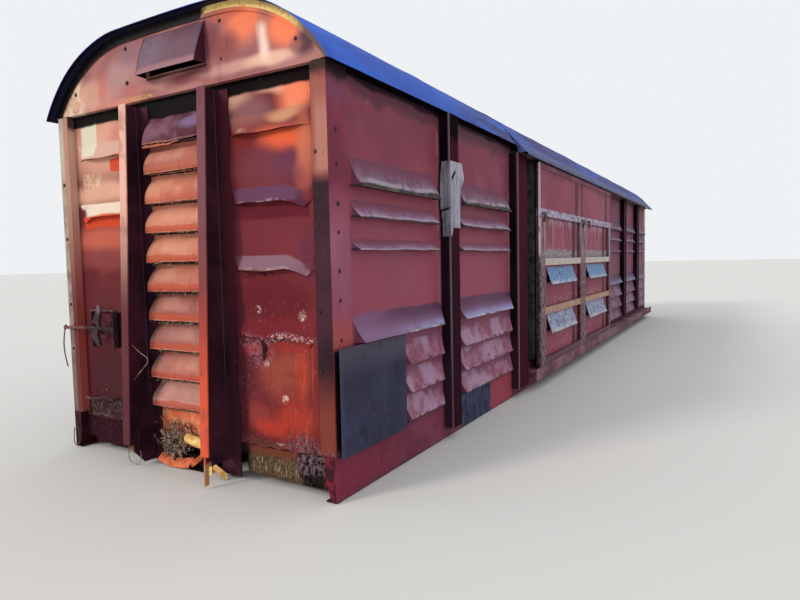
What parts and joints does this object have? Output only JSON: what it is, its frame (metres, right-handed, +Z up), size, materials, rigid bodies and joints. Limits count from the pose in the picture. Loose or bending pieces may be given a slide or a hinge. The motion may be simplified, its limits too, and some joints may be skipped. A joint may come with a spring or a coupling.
{
  "type": "bogie louvre van body, off its bogies",
  "caption": "Body of a steel railway louvre van with sliding side doors and an arched roof, stored on the ground with its bogies and couplers removed.",
  "frame": {"origin": "middle of the footprint at ground level, under the sole bars", "axes": "+X along the body, with the end that the picture shows at -X; the side that it shows faces -Y; +Z up"},
  "size_m": [14.542, 3.33, 3.5168],
  "materials": {
    "body_paint": "weathered maroon paint",
    "roof_paint": "dull blue-grey weathered sheet",
    "underframe_steel": "rusty",
    "inner_steel": "dull",
    "rusty_gear": "rusty",
    "floor_boards": "worn timber",
    "board_black": "faded black paint",
    "pale_plate": "chalky grey-white paint"
  },
  "bodies": {
    "van_body": {"arch_plate_far": "body_paint", "arch_plate_near": "body_paint", "bolsters": "underframe_steel", "cant_rails": "inner_steel", "centre_sill": "underframe_steel", "corner_posts": "body_paint", "cross_bearers": "underframe_steel", "data_boards": "board_black", "door_guide_rails": "rusty_gear", "door_hood_far": "roof_paint", "door_hood_near": "roof_paint", "door_tracks": "rusty_gear", "end_fittings": "rusty_gear", "end_louvres_far": "body_paint", "end_louvres_near": "body_paint", "end_panels_far": "body_paint", "end_panels_near": "body_paint", "end_stanchions": "body_paint", "floor": "floor_boards", "headstocks": "underframe_steel", "post_wrap_plate": "pale_plate", "roof_hoops": "inner_steel", "roof_sheet": "roof_paint", "side_bay_far_1": "body_paint", "side_bay_far_2": "body_paint", "side_bay_far_3": "body_paint", "side_bay_far_4": "body_paint", "side_bay_far_5": "body_paint", "side_bay_near_1": "body_paint", "side_bay_near_2": "body_paint", "side_bay_near_3": "body_paint", "side_bay_near_4": "body_paint", "side_bay_near_5": "body_paint", "side_posts_far": "body_paint", "side_posts_near": "body_paint", "sole_bar_far": "body_paint", "sole_bar_near": "body_paint"},
    "door_near_a": {"door_frame_near_a": "body_paint", "door_panel_near_a": "body_paint"},
    "door_near_b": {"door_frame_near_b": "body_paint", "door_panel_near_b": "body_paint"},
    "door_far_a": {"door_frame_far_a": "body_paint", "door_panel_far_a": "body_paint"},
    "door_far_b": {"door_frame_far_b": "body_paint", "door_panel_far_b": "body_paint"}
  },
  "joints": [
    {"name": "door_near_b_slide", "type": "slide", "parent": "van_body", "child": "door_near_b", "axis": [1, 0, 0], "range_m": [0, 5.38]},
    {"name": "door_near_a_slide", "type": "slide", "parent": "van_body", "child": "door_near_a", "axis": [1, 0, 0], "range_m": [0, 5.38]},
    {"name": "door_far_b_slide", "type": "slide", "parent": "van_body", "child": "door_far_b", "axis": [-1, 0, 0], "range_m": [0, 5.38]},
    {"name": "door_far_a_slide", "type": "slide", "parent": "van_body", "child": "door_far_a", "axis": [-1, 0, 0], "range_m": [0, 5.38]}
  ],
  "couplings": [
    {"joint": "door_near_a_slide", "follows": "door_near_b_slide", "ratio": 1},
    {"joint": "door_far_a_slide", "follows": "door_far_b_slide", "ratio": 1}
  ]
}
